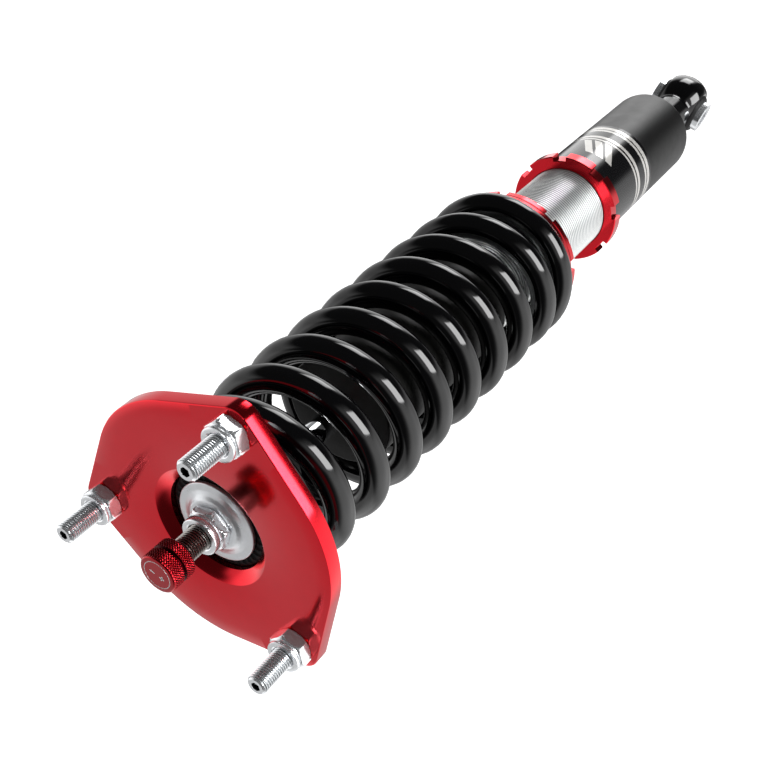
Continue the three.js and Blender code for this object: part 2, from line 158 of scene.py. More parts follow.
def surface(name, colour, metallic, roughness, grain_mm, grain, mottle_mm=8, mottle=0.06, **shader_inputs):
    """A finish: a base colour and roughness that wander a little, and a fine grain in the surface.
    grain_mm and mottle_mm are the real sizes of the grain and of the patches."""
    material = bpy.data.materials.new(name)
    material.use_nodes = True
    tree = material.node_tree
    shader = tree.nodes["Principled BSDF"]
    place = add(tree, "ShaderNodeTexCoord").outputs["Object"]
    patches = add(tree, "ShaderNodeTexNoise", {"Vector": place}, Scale=1 / (mottle_mm * MM), Detail=3.0)
    base = srgb(colour)[:3]
    tone = add(tree, "ShaderNodeMix", {
        "Factor": patches.outputs["Fac"],
        "A": [c * (1 - mottle) for c in base] + [1],
        "B": [min(1, c * (1 + mottle)) for c in base] + [1],
    }, data_type="RGBA")
    tree.links.new(tone.outputs["Result"], shader.inputs["Base Color"])
    shine = add(tree, "ShaderNodeMapRange", {"Value": patches.outputs["Fac"]},
                To_Min=roughness * (1 - 2 * mottle), To_Max=roughness * (1 + 2 * mottle))
    tree.links.new(shine.outputs["Result"], shader.inputs["Roughness"])
    shader.inputs["Metallic"].default_value = metallic
    if grain:
        noise = add(tree, "ShaderNodeTexNoise", {"Vector": place}, Scale=1 / (grain_mm * MM), Detail=2.0)
        bump = add(tree, "ShaderNodeBump", {"Height": noise.outputs["Fac"]},
                   Strength=grain, Distance=GRAIN_HEIGHT * MM)
        tree.links.new(bump.outputs["Normal"], shader.inputs["Normal"])
    for socket, value in shader_inputs.items():
        shader.inputs[socket.replace("_", " ")].default_value = value
    return material


red_anodised = surface("red_anodised", RED, 1, 0.15, 0.35, 0.05, Coat_Weight=0.4, Coat_Roughness=0.12)


def even(count):
    """That many angles, evenly spaced round a full turn."""
    return [2 * pi * k / count for k in range(count)]


def at(value, angle):
    """The value itself, or what it is at that angle."""
    return value(angle) if callable(value) else value


def finished(name, mesh_data, material, body, nodes, sharp=32):
    """Makes an object of a bmesh, shades it smooth up to its sharp edges, and puts it on its body."""
    bmesh.ops.remove_doubles(mesh_data, verts=mesh_data.verts, dist=1e-6)
    bmesh.ops.dissolve_degenerate(mesh_data, edges=mesh_data.edges, dist=1e-7)
    bmesh.ops.recalc_face_normals(mesh_data, faces=mesh_data.faces)
    mesh = bpy.data.meshes.new(name)
    mesh_data.to_mesh(mesh)
    mesh_data.free()
    mesh.shade_smooth()
    mesh.set_sharp_from_angle(angle=radians(sharp))
    mesh.materials.append(material)
    piece = bpy.data.objects.new(name, mesh)
    scene.collection.objects.link(piece)
    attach(piece, body)
    if nodes:
        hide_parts(*nodes)
    return piece


def revolved(rings, angles, closed=False):
    """A bmesh turned about Z from rings of (radius, z) in mm, each a number or a function of the angle."""
    made = bmesh.new()
    rows = []
    for radius, z in rings:
        rows.append([
            made.verts.new((at(radius, a) * cos(a) * MM, at(radius, a) * sin(a) * MM, at(z, a) * MM))
            for a in angles
        ])
    pairs = list(zip(rows, rows[1:]))
    if closed:
        pairs.append((rows[-1], rows[0]))
    count = len(angles)
    for lower, upper in pairs:
        for k in range(count):
            nearby = (k + 1) % count
            made.faces.new((lower[k], lower[nearby], upper[nearby], upper[k]))
    return made


def eased(corners, ease=0.4, steps=3, closed=False):
    """The outline with each corner rounded off by about that many mm."""
    count = len(corners)
    points = []
    for k, corner in enumerate(corners):
        if not closed and k in (0, count - 1):
            points.append(tuple(corner))
            continue
        here = Vector(corner)
        before = Vector(corners[k - 1]) - here
        after = Vector(corners[(k + 1) % count]) - here
        reach = min(ease, before.length * 0.45, after.length * 0.45)
        start = here + before.normalized() * reach
        end = here + after.normalized() * reach
        for step in range(steps + 1):
            t = step / steps
            point = start * (1 - t) ** 2 + here * 2 * t * (1 - t) + end * t ** 2
            points.append((point.x, point.y))
    return points


def plate_radius(angle):
    """Distance from the axis to the plate's outline."""
    tangent = acos((PLATE_R - CORNER_R) / CORNER_PITCH_R)
    off = min(abs((angle - radians(middle) + pi) % (2 * pi) - pi) for middle in STUD_ANGLES.values())
    if off >= tangent:
        return PLATE_R
    if off >= atan2(CORNER_R * sin(tangent), CORNER_PITCH_R + CORNER_R * cos(tangent)):
        return PLATE_R / cos(tangent - off)
    return CORNER_PITCH_R * cos(off) + sqrt(CORNER_R ** 2 - (CORNER_PITCH_R * sin(off)) ** 2)


def inset(distance):
    """The plate's outline moved in by that many mm."""
    return lambda angle: plate_radius(angle) - distance


finished("top_plate_milled", revolved([
    (BORE_R, -PLATE_T + 0.4), (BORE_R, -BORE_MOUTH_DEPTH - 0.3), (BORE_R + 0.3, -BORE_MOUTH_DEPTH),
    (BORE_MOUTH_R - 0.2, -0.16), (BORE_MOUTH_R + 0.3, 0),
    (inset(FACE_MARGIN), 0), (inset(PLATE_EDGE), 0), (inset(PLATE_EDGE * 0.3), -PLATE_EDGE * 0.3),
    (plate_radius, -PLATE_EDGE), (plate_radius, PLATE_EDGE - PLATE_T), (inset(PLATE_EDGE), -PLATE_T),
    (inset(FACE_MARGIN), -PLATE_T), (BORE_R + 0.4, -PLATE_T),
], even(720), closed=True), red_anodised, "top_mount", ["top_plate"], sharp=24)


# Studs: M10 steel studs pressed into the plate from below, zinc plated, with a hex socket in the
# tip that is painted near black as shade. The plating is bright with a slightly milky, uneven bloom, and the
# thread's grooves are rougher and painted darker, as shade.
zinc_plate = surface("zinc_plate", "#F0F2F5", 0.85, 0.2, 0.5, 0.08, mottle_mm=3, mottle=0.1)
# The hex socket's inside is painted near black: painted shade in the hole.
socket_shade = surface("socket_painted_shade", "#0B0B0D", 0.5, 0.45, 0.4, 0.1)
STUD_R = 5
STUD_PITCH = 1.25
STUD_TIP_Z = 27.4
STUD_TIP_R = 3.9
STUD_THREAD_START = -6
STUD_THREAD_SHOWN = 8
STUD_THREAD_DEPTH = 0.62
STUD_HEAD_R = 8
STUD_HEAD_TOP = -8.2
STUD_HEAD_BOTTOM = -10.8
STUD_CIRCLE_R = 63
SOCKET_AF = 4
SOCKET_FLOOR = STUD_TIP_Z - 4.2
# How deep a thread's groove is at each sixth of the pitch, as a share of its full depth.
THREAD_FORM = [0, 0, 0.5, 1, 1, 0.5]


def hexed(across_flats, first_corner=0):
    """A hexagon's radius as a function of the angle, with its first corner at that many degrees."""
    return lambda a: across_flats / 2 / cos((a - radians(first_corner)) % (pi / 3) - pi / 6)


def lesser(radius, limit):
    """The radius, turned down to a limit."""
    return lambda a: min(at(radius, a), limit)


def threaded(major_r, depth, pitch, bottom, top, count, below, above, chamfer=0.0):
    """A bmesh of a right-handed thread between two heights, with plain rings below and above it."""
    steps = len(THREAD_FORM)
    turns = int((top - bottom) / pitch) + 1
    angles = even(count)
    lip = major_r - depth - chamfer
    made = bmesh.new()

    def ring_of(points):
        return [
            made.verts.new((r * cos(a) * MM, r * sin(a) * MM, z * MM))
            for a, (r, z) in zip(angles, points)
        ]

    def thread_point(row, a):
        z = bottom + pitch * (row / steps + a / (2 * pi))
        if not bottom < z < top:
            return lip, min(max(z, bottom), top)
        from_end = min(z - bottom, top - z)
        radius = major_r - depth * THREAD_FORM[row % steps]
        return min(radius, lip + from_end * 1.1), z

    def plain(radius, z):
        return ring_of([(at(radius, a), z) for a in angles])

    rows = [plain(r, z) for r, z in below]
    first = len(rows)
    for row in range(-steps, (turns + 1) * steps):
        rows.append(ring_of([thread_point(row, a) for a in angles]))
    last = len(rows) - 1
    rows += [plain(r, z) for r, z in above]
    for k, (lower, upper) in enumerate(zip(rows, rows[1:])):
        shift = steps if first <= k < last else 0
        for j in range(count):
            if j < count - 1:
                made.faces.new((lower[j], lower[j + 1], upper[j + 1], upper[j]))
            elif not shift:
                made.faces.new((lower[j], lower[0], upper[0], upper[j]))
            elif k + 1 + shift <= last:
                made.faces.new((lower[j], rows[k + shift][0], rows[k + 1 + shift][0], upper[j]))
    return made


def paint_groove_shade(piece, material, root_r, low, high, centre=Vector((0, 0, 0))):
    """Paints shade into the grooves between two heights, inside a radius: they get a darker colour than the
    crests.
    """
    piece.data.materials.append(material)
    number = len(piece.data.materials) - 1
    for face in piece.data.polygons:
        middle = face.center - centre
        if low * MM < middle.z < high * MM and 0.8 * root_r * MM < hypot(middle.x, middle.y) < root_r * MM:
            face.material_index = number


def stud_spot(angle):
    """Where the stud at that many degrees stands."""
    return Vector((cos(radians(angle)), sin(radians(angle)), 0)) * STUD_CIRCLE_R * MM


# Painted shade: a darker grey for the stud threads' grooves.
thread_shade = surface("thread_root_shade", "#9CA1A3", 0.8, 0.4, 0.4, 0.1)
socket = hexed(SOCKET_AF)
for letter, angle in STUD_ANGLES.items():
    spot = stud_spot(angle)
    shank = threaded(
        STUD_R, STUD_THREAD_DEPTH, STUD_PITCH, STUD_THREAD_START, STUD_TIP_Z, 48,
        below=[(0, STUD_HEAD_BOTTOM), (STUD_HEAD_R - 0.4, STUD_HEAD_BOTTOM),
               (STUD_HEAD_R, STUD_HEAD_BOTTOM + 0.4), (STUD_HEAD_R, STUD_HEAD_TOP - 0.2),
               (STUD_HEAD_R - 0.2, STUD_HEAD_TOP), (STUD_R - STUD_THREAD_DEPTH, STUD_HEAD_TOP)],
        above=[(STUD_TIP_R - 0.6, STUD_TIP_Z), (lambda a: socket(a) + 0.12, STUD_TIP_Z - 0.02),
               (socket, STUD_TIP_Z - 0.25), (socket, SOCKET_FLOOR + 0.7), (0, SOCKET_FLOOR)],
        chamfer=0.5,
    )
    bmesh.ops.translate(shank, verts=shank.verts, vec=spot)
    stud = finished(f"threaded_stud_{letter}", shank, zinc_plate,
                    "top_mount", [f"stud_{letter}"])
    # Faces inside the socket take the painted shade.
    stud.data.materials.append(socket_shade)
    for face in stud.data.polygons:
        middle = face.center - spot
        if middle.z > (SOCKET_FLOOR - 0.1) * MM and hypot(middle.x, middle.y) < SOCKET_AF * 0.57 * MM:
            face.material_index = 1
    # The thread's grooves get the painted shade.
    paint_groove_shade(stud, thread_shade, STUD_R - 0.42, STUD_THREAD_SHOWN, STUD_TIP_Z - 1, spot)


# Locking nuts: hexagon nuts with a crown that is squeezed on to the thread, zinc plated.
# Their corners are turned off by a chamfer, which leaves an arc on each flat.
STUD_NUT_AF = 17


def nut(across_flats, first_corner, bottom, hex_top, crown_r, top, bore_r, groove=0.5):
    """A bmesh of a nut with a round crown, standing on a plane."""
    wrench = hexed(across_flats, first_corner)
    flat_r = across_flats / 2
    turned_off = [
        (0.0, flat_r * 0.965), (0.35, flat_r * 1.03), (0.8, flat_r * 1.08), (1.5, flat_r * 1.16),
    ]
    lower = [(lesser(wrench, r), bottom + up * 0.6) for up, r in turned_off]
    upper = [(lesser(wrench, r), hex_top - up) for up, r in reversed(turned_off)]
    crown = [
        (crown_r + 0.1, hex_top + 0.05), (crown_r - groove, hex_top + 0.35),
        (crown_r - groove * 0.6, hex_top + 0.8), (crown_r, hex_top + 1.15), (crown_r, top - 0.8),
        (crown_r - 0.25, top - 0.25), (crown_r - 0.8, top), (bore_r + 1.1, top),
        (bore_r + 0.5, top - 0.35), (bore_r + 0.35, top - 1.1), (bore_r, top - 1.4),
    ]
    return revolved([(bore_r, bottom)] + lower + upper + crown, even(144), closed=True)


for letter, angle in STUD_ANGLES.items():
    made = nut(STUD_NUT_AF, first_corner=0, bottom=0.05, hex_top=6.6, crown_r=8.3, top=9, bore_r=STUD_R - 0.1)
    bmesh.ops.translate(made, verts=made.verts, vec=stud_spot(angle))
    finished(f"locking_nut_{letter}", made, zinc_plate,
             "top_mount", [f"stud_nut_{letter}"], sharp=28)


# Cup washer: a pressed zinc-plated disc with a domed middle, which clamps the rubber bush.
# It is rolled from sheet, so its rim is rounded and its face has a slight wave.
washer_zinc = surface("washer_zinc", "#E9ECEF", 0.75, 0.3, 1.2, 0.25, mottle_mm=5, mottle=0.12)
WASHER_BORE_R = 6.2
WASHER_R = 20.4
WASHER_TOP = -2.5
WASHER_T = 2
WASHER_RIM_Z = -6.6
finished("cup_washer_pressed", revolved(eased([
    (WASHER_BORE_R, WASHER_TOP - WASHER_T), (11.5, WASHER_TOP - WASHER_T),
    (16.5, WASHER_RIM_Z), (WASHER_R, WASHER_RIM_Z),
    (WASHER_R, WASHER_RIM_Z + WASHER_T), (16.8, WASHER_RIM_Z + WASHER_T),
    (14.6, -3.9), (12.6, -2.7), (11.2, WASHER_TOP), (WASHER_BORE_R, WASHER_TOP),
], 0.7, 4, closed=True), even(128), closed=True), washer_zinc, "top_mount", ["cup_washer"])

# Top nut: an M12 hexagon nut with a round crown, zinc plated like the stud nuts. It clamps the
# cup washer on to the bush's steel sleeve.
TOP_NUT_AF = 19
finished("top_nut_crowned", nut(TOP_NUT_AF, first_corner=30, bottom=WASHER_TOP + 0.05, hex_top=2.2,
                                crown_r=9.3, top=6.6, bore_r=5.9, groove=0.8),
         zinc_plate, "top_mount", ["top_nut"], sharp=28)

# Rubber bush: black rubber moulded between the plate and the steel sleeve. It has radial
# ribs on the face that shows round the washer, and stays matt in the shade of the bore.
bush_rubber = surface("bush_rubber", "#131314", 0, 0.62, 0.3, 0.4, Specular_IOR_Level=0.35)
RIBS = 36
BUSH_R = 24.9
BUSH_SLEEVE_R = 10.2
BUSH_TOP = -7
BUSH_BOTTOM = -21.6


def ribbed(z, height):
    """A height that rises into ribs, as a function of the angle."""
    return lambda a: z + height * max(0, cos(RIBS * a)) ** 2


finished("top_bush_moulded", revolved([
    (BUSH_SLEEVE_R, BUSH_BOTTOM), (BUSH_R - 0.3, BUSH_BOTTOM), (BUSH_R, BUSH_BOTTOM + 0.6),
    (BUSH_R, BUSH_TOP - 1), (BUSH_R - 0.3, BUSH_TOP - 0.2), (23.8, ribbed(BUSH_TOP, 0.3)),
    (22.6, ribbed(BUSH_TOP + 0.1, 0.9)), (21.2, ribbed(BUSH_TOP + 0.1, 0.9)),
    (19.5, ribbed(BUSH_TOP, 0.2)), (BUSH_SLEEVE_R, BUSH_TOP - 0.1),
], even(RIBS * 8), closed=True), bush_rubber, "top_mount", ["top_bush"])

# Piston rod: hard-chromed bar, ground and polished, with a darker steel M12 fine thread on its end,
# whose grooves are painted near black as shade, and a turned-down seat for the piston. It is drilled
# for most of its length for the adjuster's needle.
hard_chrome = surface("hard_chrome", "#E4E6E8", 1, 0.05, 1.0, 0.0, mottle=0.02)
rod_thread = surface("rod_thread_steel", "#A9A5A1", 1, 0.28, 0.5, 0.1, mottle_mm=2, mottle=0.1)
ROD_R = 6.2
ROD_TOP = 18.6
ROD_THREAD_END = -22
ROD_THREAD_R = 5.95
ROD_THREAD_DEPTH = 0.75
ROD_PITCH = 1.25
ROD_BORE_R = 2.3
ROD_BORE_FLOOR = -168
ROD_BOTTOM = -177
PISTON_SEAT_R = 5
PISTON_SEAT_Z = -150
rod_end = finished("rod_end_thread", threaded(
    ROD_THREAD_R, ROD_THREAD_DEPTH, ROD_PITCH, ROD_THREAD_END + 2, ROD_TOP, 64,
    below=[(ROD_BORE_R, ROD_TOP - 0.4), (ROD_BORE_R, ROD_THREAD_END), (5.1, ROD_THREAD_END)],
    above=[(3.0, ROD_TOP), (ROD_BORE_R + 0.4, ROD_TOP), (ROD_BORE_R, ROD_TOP - 0.4)], chamfer=0.3,
), rod_thread, "top_mount", [])
# Painted shade: the rod thread's grooves are painted near black between the crests.
paint_groove_shade(rod_end, surface("rod_root_shade", "#3A3836", 1, 0.4, 0.4, 0.1),
           ROD_THREAD_R - 0.5, ROD_THREAD_END + 2, ROD_TOP - 0.2)
finished("piston_rod_chromed", revolved([
    (0, ROD_BOTTOM), (PISTON_SEAT_R - 0.4, ROD_BOTTOM), (PISTON_SEAT_R, ROD_BOTTOM + 0.5),
    (PISTON_SEAT_R, PISTON_SEAT_Z), (ROD_R - 0.3, PISTON_SEAT_Z), (ROD_R, PISTON_SEAT_Z + 0.4),
    (ROD_R, ROD_THREAD_END - 0.6), (ROD_R - 0.5, ROD_THREAD_END - 0.05),
    (ROD_BORE_R, ROD_THREAD_END - 0.05), (ROD_BORE_R, ROD_BORE_FLOOR), (0, ROD_BORE_FLOOR),
], even(64)), hard_chrome, "top_mount", ["piston_rod"])


# Adjuster knob: turned and knurled aluminium, anodised red. Two bands of diamond knurl stand
# between polished chamfers, and its face has an engraved circle with generic plus and minus marks.
KNOB_R = 9.5
KNOB_BASE = 19.0
KNOB_FACE = 32.4
KNOB_SHOULDER_R = 9.0
KNOB_GROOVE_R = 8.6
KNOB_GROOVE_Z = 25.45
KNURL_DIAMONDS = 44
KNURL_DEPTH = 0.4
KNURL_ROWS = 26
NEEDLE_HOLE_R = 2.2
NEEDLE_HOLE_END = 28
CIRCLE_R = 7.0
CIRCLE_INNER_R = 6.65
ENGRAVING_DEPTH = 0.12
MARK_LENGTH = 2.6
MARK_WIDTH = 0.7
MARK_HEIGHT = 0.06
red_polished = surface("red_anodised_knob", "#A80A1A", 1, 0.2, 0.4, 0.05, Coat_Weight=0.3, Coat_Roughness=0.1)
etched_silver = surface("laser_etched", "#E6E6E6", 0.4, 0.4, 0.3, 0.2)


def knurl(z):
    """The knurled radius at a height, as a function of the angle: pyramids between crossing grooves."""
    pitch = 2 * pi * KNOB_R / KNURL_DIAMONDS

    def radius(a):
        along = a * KNURL_DIAMONDS / (2 * pi)
        grooves = [along + z / pitch, along - z / pitch]
        slopes = [2 * abs(groove - round(groove)) for groove in grooves]
        return KNOB_R - KNURL_DEPTH * (1 - min(1, 1.6 * min(slopes)))
    return radius


def knurl_band(low, high):
    """The rings of a knurled band between two heights."""
    heights = [low + (high - low) * k / KNURL_ROWS for k in range(KNURL_ROWS + 1)]
    return [(knurl(z), z) for z in heights]


knob_rings = [
    (0, NEEDLE_HOLE_END), (NEEDLE_HOLE_R, NEEDLE_HOLE_END), (NEEDLE_HOLE_R, KNOB_BASE + 0.4),
    (6.4, KNOB_BASE + 0.4), (6.6, KNOB_BASE), (8.5, KNOB_BASE), (KNOB_SHOULDER_R, KNOB_BASE + 0.35),
]
knob_rings += knurl_band(KNOB_BASE + 0.9, KNOB_GROOVE_Z - 0.85)
knob_rings += [
    (KNOB_SHOULDER_R, KNOB_GROOVE_Z - 0.55), (KNOB_GROOVE_R, KNOB_GROOVE_Z - 0.3),
    (KNOB_GROOVE_R, KNOB_GROOVE_Z + 0.3), (KNOB_SHOULDER_R, KNOB_GROOVE_Z + 0.55),
]
knob_rings += knurl_band(KNOB_GROOVE_Z + 0.85, KNOB_FACE - 1.0)
knob_rings += [
    (9.15, KNOB_FACE - 0.45), (8.85, KNOB_FACE - 0.12), (8.6, KNOB_FACE), (CIRCLE_R, KNOB_FACE),
    (CIRCLE_R - 0.05, KNOB_FACE - ENGRAVING_DEPTH), (CIRCLE_INNER_R + 0.05, KNOB_FACE - ENGRAVING_DEPTH),
    (CIRCLE_INNER_R, KNOB_FACE), (0, KNOB_FACE),
]
knob = finished("adjuster_knob_knurled", revolved(knob_rings, even(KNURL_DIAMONDS * 6)),
                red_polished, "knob", ["adjuster_knob"], sharp=40)
# Painted shade: the knurl's grooves are painted a dark red between the diamonds.
paint_groove_shade(knob, surface("knurl_groove_painted_shade", "#3C0208", 1, 0.4, 0.3, 0.1),
           KNOB_R - KNURL_DEPTH * 0.62, KNOB_BASE + 0.8, KNOB_FACE - 0.9)
knob.data.materials.append(etched_silver)
for face in knob.data.polygons:
    from_axis = hypot(face.center.x, face.center.y) / MM
    if face.center.z > (KNOB_FACE - 0.2) * MM and CIRCLE_INNER_R - 0.05 < from_axis < CIRCLE_R + 0.05:
        face.material_index = 2


def bar(made, x, width, height):
    """Adds a bar to the knob's face, raised by no more than a coat of paint."""
    for vert in bmesh.ops.create_cube(made, size=1)["verts"]:
        along, up, out = vert.co
        vert.co = Vector((x + along * width, up * height, KNOB_FACE + 0.02 + out * MARK_HEIGHT)) * MM


marks = bmesh.new()
bar(marks, -MARK_LENGTH, MARK_LENGTH, MARK_WIDTH)
bar(marks, MARK_LENGTH, MARK_LENGTH, MARK_WIDTH)
bar(marks, MARK_LENGTH, MARK_WIDTH, MARK_LENGTH)
finished("knob_marks", marks, etched_silver, "knob", [])


# Spring: 14 mm chrome-silicon wire coiled cold with closed end coils, then powder coated gloss
# black. The coat is thick and levels out, with a faint orange peel. The spring shortens with the
# damper's stroke.
WIRE_R = 7
SPRING_R = 39
SEAT_Z = -11.3
PERCH_Z = -265
TOP_TURNS = 0.38
OPEN_TURNS = 8.516
BOTTOM_TURNS = 0.68
UPPER_TIP = 84
SPRING_GAP = 0.3
STEPS_PER_TURN = 72
WIRE_SIDES = 28
gloss_black = surface("gloss_black_powder_coat", "#020203", 0, 0.08, 3.0, 0.02, mottle=0.1)


def spring_point(turn):
    """The wire's centre after that many turns from its upper end, in mm."""
    share = min(max((turn - TOP_TURNS) / OPEN_TURNS, 0), 1)
    angle = radians(UPPER_TIP) - 2 * pi * turn
    z = SEAT_Z - WIRE_R - SPRING_GAP + (PERCH_Z - SEAT_Z + 2 * (WIRE_R + SPRING_GAP)) * share
    return Vector((SPRING_R * cos(angle), SPRING_R * sin(angle), z))


spring_mesh = bmesh.new()
total = TOP_TURNS + OPEN_TURNS + BOTTOM_TURNS
steps = round(total * STEPS_PER_TURN)
rows = []
for k in range(steps + 1):
    turn = total * k / steps
    centre = spring_point(turn)
    along = (spring_point(turn + 0.001) - spring_point(turn - 0.001)).normalized()
    outward = Vector((centre.x, centre.y, 0)).normalized()
    up = outward.cross(along).normalized()
    from_tip = min(k, steps - k)
    wire_r = WIRE_R * (1 - 0.06 * max(0, 1 - from_tip / 1.5))
    rows.append([
        spring_mesh.verts.new((centre + (outward * cos(a) + up * sin(a)) * wire_r) * MM)
        for a in even(WIRE_SIDES)
    ])
for lower, upper in zip(rows, rows[1:]):
    for j in range(WIRE_SIDES):
        nearby = (j + 1) % WIRE_SIDES
        spring_mesh.faces.new((lower[j], lower[nearby], upper[nearby], upper[j]))
spring_mesh.faces.new(rows[0])
spring_mesh.faces.new(rows[-1])
spring = finished("coil_spring", spring_mesh, gloss_black,
                  "top_mount", ["spring"], sharp=45)
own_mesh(spring)

# Upper spring seat: a turned aluminium ring on the plate's underside, anodised red. Its hub
# holds the spring's first coil in the middle.
SEAT_BORE_R = 25.3
SEAT_R = 43
SEAT_HUB_R = 31.4
SEAT_HUB_END = -22
SEAT_FACE = -11.2
finished("upper_seat_turned", revolved(eased([
    (SEAT_BORE_R, SEAT_HUB_END), (SEAT_HUB_R, SEAT_HUB_END), (SEAT_HUB_R, SEAT_FACE),
    (SEAT_R, SEAT_FACE), (SEAT_R, -PLATE_T - 0.05), (SEAT_BORE_R, -PLATE_T - 0.05),
], 0.5, 3, closed=True), even(128), closed=True), red_anodised,
    "top_mount", ["upper_spring_seat"])

# Bump stop: microcellular urethane, black and matt, moulded with a tapered lip that takes the
# first touch. It sits on the rod under the bush and is squeezed at the end of the stroke.
STOP_BORE_R = 6.6
STOP_R = 19
STOP_TOP = -26.6
STOP_BOTTOM = -50
urethane = surface("bump_stop_urethane", "#161514", 0, 0.8, 0.6, 0.6)
bump_stop = finished("bump_stop_moulded", revolved(eased([
    (STOP_BORE_R, STOP_BOTTOM), (12.5, STOP_BOTTOM), (15, STOP_BOTTOM + 5), (14, STOP_BOTTOM + 9),
    (STOP_R, STOP_BOTTOM + 11.5), (STOP_R, STOP_TOP), (STOP_BORE_R, STOP_TOP),
], 1.2, 4, closed=True), even(96), closed=True), urethane, "top_mount", ["bump_stop"])
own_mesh(bump_stop)


# Damper tube: steel tube with a fine rolled thread along its outside, bright zinc plated.
# The crests catch the light as fine rings, and the grooves between them are a little rougher and painted
# darker, as shade.
tube_zinc = surface("tube_zinc", "#E0E2E1", 0.8, 0.3, 0.8, 0.1, mottle_mm=6, mottle=0.08)
TUBE_R = 26.5
TUBE_BORE_R = 23.5
TUBE_TOP = -105
TUBE_BOTTOM = -435
TUBE_THREAD_TOP = -214
TUBE_THREAD_DEPTH = 0.55
TUBE_PITCH = 2.0
tube = finished("damper_tube_threaded", threaded(
    TUBE_R, TUBE_THREAD_DEPTH, TUBE_PITCH, TUBE_BOTTOM + 1, TUBE_THREAD_TOP, 96,
    below=[(TUBE_BORE_R, TUBE_TOP), (TUBE_BORE_R, TUBE_BOTTOM), (TUBE_R - 0.9, TUBE_BOTTOM)],
    above=[(TUBE_R - 0.8, TUBE_THREAD_TOP + 0.1), (TUBE_R, TUBE_THREAD_TOP + 0.8),
           (TUBE_R, TUBE_TOP), (TUBE_BORE_R, TUBE_TOP)],
), tube_zinc, "damper_body", ["damper_tube"])
# Painted shade: the tube thread's grooves are painted a darker grey.
paint_groove_shade(tube, surface("tube_root_shade", "#9DA1A3", 0.8, 0.4, 0.4, 0.1),
           TUBE_R - 0.4, TUBE_BOTTOM + 2, TUBE_THREAD_TOP - 1)

# Dust boot: a stiff moulded cover that is pushed over the tube's top, in matt dark plastic
# with a brownish cast. Its top is a flat disc with a rolled rim round the rod.
BOOT_R = 29
BOOT_INNER_R = 26.8
BOOT_HOLE_R = 7.5
BOOT_TOP = -96.5
BOOT_BOTTOM = -212
BOOT_T = 2
RIM_HEIGHT = 0.9
boot_plastic = surface("dust_boot_plastic", "#090807", 0, 0.5, 0.5, 0.3, mottle=0.15, Specular_IOR_Level=0.3)
finished("dust_boot_moulded", revolved(eased([
    (BOOT_INNER_R, BOOT_BOTTOM), (BOOT_R, BOOT_BOTTOM), (BOOT_R, BOOT_TOP), (BOOT_HOLE_R + 2.1, BOOT_TOP),
    (BOOT_HOLE_R + 1.1, BOOT_TOP + RIM_HEIGHT), (BOOT_HOLE_R, BOOT_TOP + RIM_HEIGHT),
    (BOOT_HOLE_R, BOOT_TOP - BOOT_T), (BOOT_INNER_R, BOOT_TOP - BOOT_T),
], 1.0, 4, closed=True), even(96), closed=True), boot_plastic, "damper_body", ["dust_boot"])


# Spring perch: a turned aluminium seat with a short hub inside the last coil, over a thin
# threaded ring with square spanner notches. Both are anodised red. The seat's top and the hub,
# between the last coils, are painted black as shade.
NOTCHES = 8
THREADED_BORE_R = 26.7
PERCH_R = 40.5
PERCH_HUB_R = 31
PERCH_HUB_TOP = -257
PERCH_BOTTOM = -270.2
PERCH_RING_BOTTOM = -274.4
PERCH_SHADE_R = 39.9


def notched(rim_r, depth, width, first_angle):
    """The rim's radius as a function of the angle, and the angles that its square notches need."""
    half = degrees(width / rim_r) / 2
    step = 360 / NOTCHES

    def radius(a):
        off = abs((degrees(a) - first_angle + step / 2) % step - step / 2)
        return rim_r - depth if off < half else rim_r

    angles = even(240)
    for k in range(NOTCHES):
        for side in (-1, 1):
            edge = first_angle + k * step + side * half
            angles += [radians(edge + near) % (2 * pi) for near in (-0.35, -0.02, 0.02, 0.35)]
    return radius, sorted(set(angles))


def notched_ring(bore_r, rim_r, bottom, top, depth, width, first_angle, edge=0.35):
    """A bmesh of a ring with square notches in its rim and a small chamfer all round."""
    radius, angles = notched(rim_r, depth, width, first_angle)

    def chamfered(a):
        return radius(a) - edge

    face_r = rim_r - depth - 1.2
    return revolved([
        (bore_r, bottom + edge), (bore_r + edge, bottom), (face_r, bottom), (chamfered, bottom),
        (radius, bottom + edge), (radius, top - edge), (chamfered, top), (face_r, top),
        (bore_r + edge, top), (bore_r, top - edge),
    ], angles, closed=True)


perch = finished("spring_perch_turned", revolved(eased([
    (THREADED_BORE_R, PERCH_BOTTOM), (PERCH_R, PERCH_BOTTOM), (PERCH_R, PERCH_Z),
    (PERCH_HUB_R, PERCH_Z), (PERCH_HUB_R, PERCH_HUB_TOP), (THREADED_BORE_R, PERCH_HUB_TOP),
], 0.5, 3, closed=True), even(160), closed=True), red_anodised, "perch", ["spring_perch"])
# The seat's top and the hub take the black rubber finish: painted shade among the last coils.
perch.data.materials.append(bush_rubber)
for face in perch.data.polygons:
    if face.center.z > (PERCH_Z - 0.3) * MM and hypot(face.center.x, face.center.y) < PERCH_SHADE_R * MM:
        face.material_index = 1
finished("perch_ring_notched", notched_ring(
    THREADED_BORE_R, PERCH_R, PERCH_RING_BOTTOM, PERCH_BOTTOM - 0.15, depth=2.4, width=6.4, first_angle=73,
), red_anodised, "perch_lock", ["perch_ring"], sharp=24)


# Lock collar: a thick aluminium nut on the damper's thread, with eight square notches for a
# hook spanner. It jams against the bracket's sleeve, and it is anodised red like the perch.
COLLAR_R = 34.6
COLLAR_BOTTOM = -351.7
COLLAR_TOP = -343.7
finished("lock_collar_notched", notched_ring(
    THREADED_BORE_R, COLLAR_R, COLLAR_BOTTOM, COLLAR_TOP, depth=2.8, width=9, first_angle=73.3, edge=0.5,
), red_anodised, "bracket_lock", ["lock_collar"], sharp=24)

